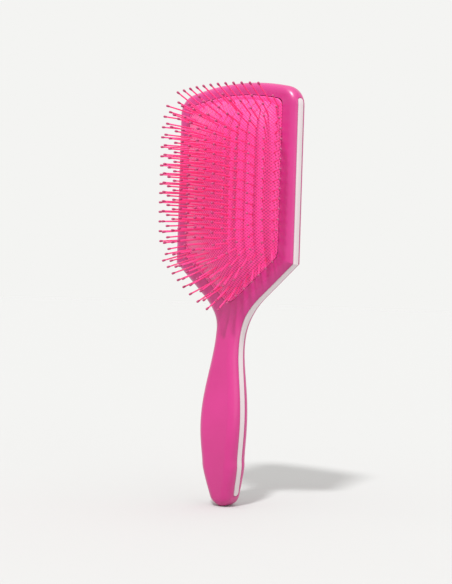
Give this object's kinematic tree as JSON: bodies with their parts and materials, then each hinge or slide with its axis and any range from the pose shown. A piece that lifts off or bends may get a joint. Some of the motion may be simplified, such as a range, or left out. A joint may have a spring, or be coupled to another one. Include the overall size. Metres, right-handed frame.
{
  "type": "paddle brush",
  "caption": "Wide flat cushion hair brush with a domed rubber pad, rows of ball-tipped pins and a slim waisted handle with inlaid side strips.",
  "frame": {"origin": "the middle of the grip, on the plane of the frame round the cushion", "axes": "+Z runs from the grip up to the head, the pins point along -Y, and +X is to the right for someone looking at the pins"},
  "size_m": [0.092, 0.0423, 0.25],
  "materials": {
    "shell": "satin soft-touch",
    "strip": "smooth, slightly glossy",
    "cushion": "fine raised diamond texture",
    "pin": "smooth moulded nylon",
    "tip": "smooth moulded nylon"
  },
  "bodies": {
    "brush_body": {"front_shell": "shell", "back_shell": "shell", "left_side_strip": "strip", "right_side_strip": "strip"},
    "pad": {"cushion": "cushion"},
    "row_vee_left": {"pins_vee_left": "pin", "ball_tips_vee_left": "tip"},
    "row_vee_right": {"pins_vee_right": "pin", "ball_tips_vee_right": "tip"},
    "row_top": {"pins_top": "pin", "ball_tips_top": "tip"},
    "row_01": {"pins_01": "pin", "ball_tips_01": "tip"},
    "row_02": {"pins_02": "pin", "ball_tips_02": "tip"},
    "row_03": {"pins_03": "pin", "ball_tips_03": "tip"},
    "row_04": {"pins_04": "pin", "ball_tips_04": "tip"},
    "row_05": {"pins_05": "pin", "ball_tips_05": "tip"},
    "row_06": {"pins_06": "pin", "ball_tips_06": "tip"},
    "row_07": {"pins_07": "pin", "ball_tips_07": "tip"},
    "row_08": {"pins_08": "pin", "ball_tips_08": "tip"},
    "row_09": {"pins_09": "pin", "ball_tips_09": "tip"},
    "row_10": {"pins_10": "pin", "ball_tips_10": "tip"},
    "row_11": {"pins_11": "pin", "ball_tips_11": "tip"},
    "row_12": {"pins_12": "pin", "ball_tips_12": "tip"},
    "row_13": {"pins_13": "pin", "ball_tips_13": "tip"},
    "row_14": {"pins_14": "pin", "ball_tips_14": "tip"},
    "row_15": {"pins_15": "pin", "ball_tips_15": "tip"},
    "row_16": {"pins_16": "pin", "ball_tips_16": "tip"},
    "row_17": {"pins_17": "pin", "ball_tips_17": "tip"},
    "row_18": {"pins_18": "pin", "ball_tips_18": "tip"},
    "row_19": {"pins_19": "pin", "ball_tips_19": "tip"}
  },
  "joints": [
    {"name": "cushion_press", "type": "slide", "parent": "brush_body", "child": "pad", "axis": [0, 1, 0], "range_m": [0, 0.003], "stiffness_N_per_m": 6000, "deforming": ["cushion"]},
    {"name": "rock_vee_left", "type": "hinge", "parent": "pad", "child": "row_vee_left", "pos_m": [-0.01695, -0.00054, 0.07528], "axis": [0.7738, 0, -0.6335], "range_deg": [-6, 6], "stiffness_Nm_per_rad": 0.2},
    {"name": "rock_vee_right", "type": "hinge", "parent": "pad", "child": "row_vee_right", "pos_m": [0.01695, -0.00054, 0.07528], "axis": [0.7738, 0, 0.6335], "range_deg": [-6, 6], "stiffness_Nm_per_rad": 0.2},
    {"name": "rock_top", "type": "hinge", "parent": "pad", "child": "row_top", "pos_m": [0, -0.00123, 0.17425], "axis": [1, 0, 0], "range_deg": [-6, 6], "stiffness_Nm_per_rad": 0.2},
    {"name": "rock_01", "type": "hinge", "parent": "pad", "child": "row_01", "pos_m": [0, -0.00203, 0.0672], "axis": [1, 0, 0], "range_deg": [-6, 6], "stiffness_Nm_per_rad": 0.2},
    {"name": "rock_02", "type": "hinge", "parent": "pad", "child": "row_02", "pos_m": [0, -0.00563, 0.07414], "axis": [1, 0, 0], "range_deg": [-6, 6], "stiffness_Nm_per_rad": 0.2},
    {"name": "rock_03", "type": "hinge", "parent": "pad", "child": "row_03", "pos_m": [0, -0.00744, 0.07923], "axis": [1, 0, 0], "range_deg": [-6, 6], "stiffness_Nm_per_rad": 0.2},
    {"name": "rock_04", "type": "hinge", "parent": "pad", "child": "row_04", "pos_m": [0, -0.00751, 0.08496], "axis": [1, 0, 0], "range_deg": [-6, 6], "stiffness_Nm_per_rad": 0.2},
    {"name": "rock_05", "type": "hinge", "parent": "pad", "child": "row_05", "pos_m": [0, -0.00779, 0.09033], "axis": [1, 0, 0], "range_deg": [-6, 6], "stiffness_Nm_per_rad": 0.2},
    {"name": "rock_06", "type": "hinge", "parent": "pad", "child": "row_06", "pos_m": [0, -0.00751, 0.09574], "axis": [1, 0, 0], "range_deg": [-6, 6], "stiffness_Nm_per_rad": 0.2},
    {"name": "rock_07", "type": "hinge", "parent": "pad", "child": "row_07", "pos_m": [0, -0.00796, 0.10129], "axis": [1, 0, 0], "range_deg": [-6, 6], "stiffness_Nm_per_rad": 0.2},
    {"name": "rock_08", "type": "hinge", "parent": "pad", "child": "row_08", "pos_m": [0, -0.00817, 0.10684], "axis": [1, 0, 0], "range_deg": [-6, 6], "stiffness_Nm_per_rad": 0.2},
    {"name": "rock_09", "type": "hinge", "parent": "pad", "child": "row_09", "pos_m": [0, -0.00824, 0.11239], "axis": [1, 0, 0], "range_deg": [-6, 6], "stiffness_Nm_per_rad": 0.2},
    {"name": "rock_10", "type": "hinge", "parent": "pad", "child": "row_10", "pos_m": [0, -0.00826, 0.11794], "axis": [1, 0, 0], "range_deg": [-6, 6], "stiffness_Nm_per_rad": 0.2},
    {"name": "rock_11", "type": "hinge", "parent": "pad", "child": "row_11", "pos_m": [0, -0.00826, 0.12349], "axis": [1, 0, 0], "range_deg": [-6, 6], "stiffness_Nm_per_rad": 0.2},
    {"name": "rock_12", "type": "hinge", "parent": "pad", "child": "row_12", "pos_m": [0, -0.00826, 0.12904], "axis": [1, 0, 0], "range_deg": [-6, 6], "stiffness_Nm_per_rad": 0.2},
    {"name": "rock_13", "type": "hinge", "parent": "pad", "child": "row_13", "pos_m": [0, -0.00826, 0.13459], "axis": [1, 0, 0], "range_deg": [-6, 6], "stiffness_Nm_per_rad": 0.2},
    {"name": "rock_14", "type": "hinge", "parent": "pad", "child": "row_14", "pos_m": [0, -0.00826, 0.14014], "axis": [1, 0, 0], "range_deg": [-6, 6], "stiffness_Nm_per_rad": 0.2},
    {"name": "rock_15", "type": "hinge", "parent": "pad", "child": "row_15", "pos_m": [0, -0.00826, 0.14569], "axis": [1, 0, 0], "range_deg": [-6, 6], "stiffness_Nm_per_rad": 0.2},
    {"name": "rock_16", "type": "hinge", "parent": "pad", "child": "row_16", "pos_m": [0, -0.00824, 0.15124], "axis": [1, 0, 0], "range_deg": [-6, 6], "stiffness_Nm_per_rad": 0.2},
    {"name": "rock_17", "type": "hinge", "parent": "pad", "child": "row_17", "pos_m": [0, -0.00793, 0.15679], "axis": [1, 0, 0], "range_deg": [-6, 6], "stiffness_Nm_per_rad": 0.2},
    {"name": "rock_18", "type": "hinge", "parent": "pad", "child": "row_18", "pos_m": [0, -0.0069, 0.16234], "axis": [1, 0, 0], "range_deg": [-6, 6], "stiffness_Nm_per_rad": 0.2},
    {"name": "rock_19", "type": "hinge", "parent": "pad", "child": "row_19", "pos_m": [0, -0.00496, 0.16789], "axis": [1, 0, 0], "range_deg": [-6, 6], "stiffness_Nm_per_rad": 0.2}
  ]
}
